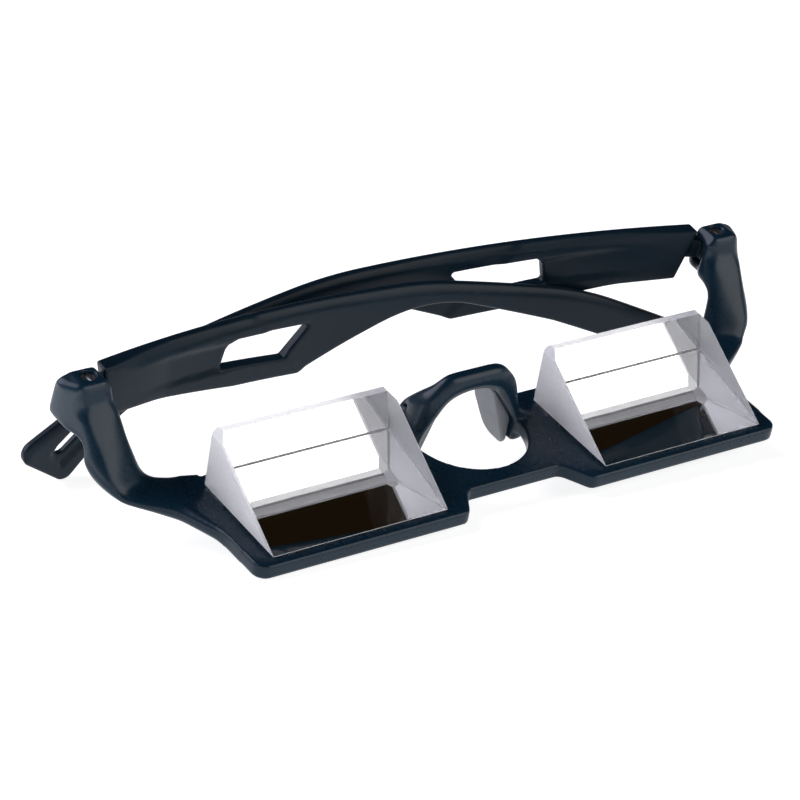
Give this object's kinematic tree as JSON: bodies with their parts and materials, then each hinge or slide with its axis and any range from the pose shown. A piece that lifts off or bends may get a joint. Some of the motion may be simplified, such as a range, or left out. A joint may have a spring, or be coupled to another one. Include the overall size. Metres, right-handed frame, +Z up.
{
  "type": "belay glasses",
  "caption": "Prism eyewear that shows a climber overhead while the wearer looks straight ahead, with folding temples.",
  "frame": {"origin": "on the table, below the middle of the front edge of the flat front, with the glasses folded and lying on one front corner and both temple tips", "axes": "+X to the wearer's left along the glasses' width, +Y from the front edge towards the wearer, +Z up from the table"},
  "size_m": [0.1348, 0.054, 0.0301],
  "materials": {
    "frame_plastic": "satin dark navy",
    "temple_plastic": "satin dark navy",
    "prism_glass": "polished, with frosted ends",
    "silvering": "silvered, painted dark on the back",
    "adhesive": "clear film",
    "pad_rubber": "soft matte grey",
    "screw_steel": "plain",
    "insert_brass": "plain"
  },
  "bodies": {
    "front": {"frame_front": "frame_plastic", "prism_left": "prism_glass", "prism_right": "prism_glass", "mirror_coating_left": "silvering", "mirror_coating_right": "silvering", "prism_adhesive_left": "adhesive", "prism_adhesive_right": "adhesive", "nose_pad_left": "pad_rubber", "nose_pad_right": "pad_rubber", "hinge_screw_left": "screw_steel", "hinge_screw_right": "screw_steel", "thread_insert_left": "insert_brass", "thread_insert_right": "insert_brass"},
    "left_temple": {"temple_left": "temple_plastic"},
    "right_temple": {"temple_right": "temple_plastic"}
  },
  "joints": [
    {"name": "temple_left_fold", "type": "hinge", "parent": "front", "child": "left_temple", "pos_m": [0.06208, 0.03163, 0.02554], "axis": [0.0256, 0.2518, -0.9674], "range_deg": [0, 78.8]},
    {"name": "temple_right_fold", "type": "hinge", "parent": "front", "child": "right_temple", "pos_m": [-0.06327, 0.03163, 0.02223], "axis": [-0.0256, -0.2518, 0.9674], "range_deg": [0, 84.5]}
  ]
}
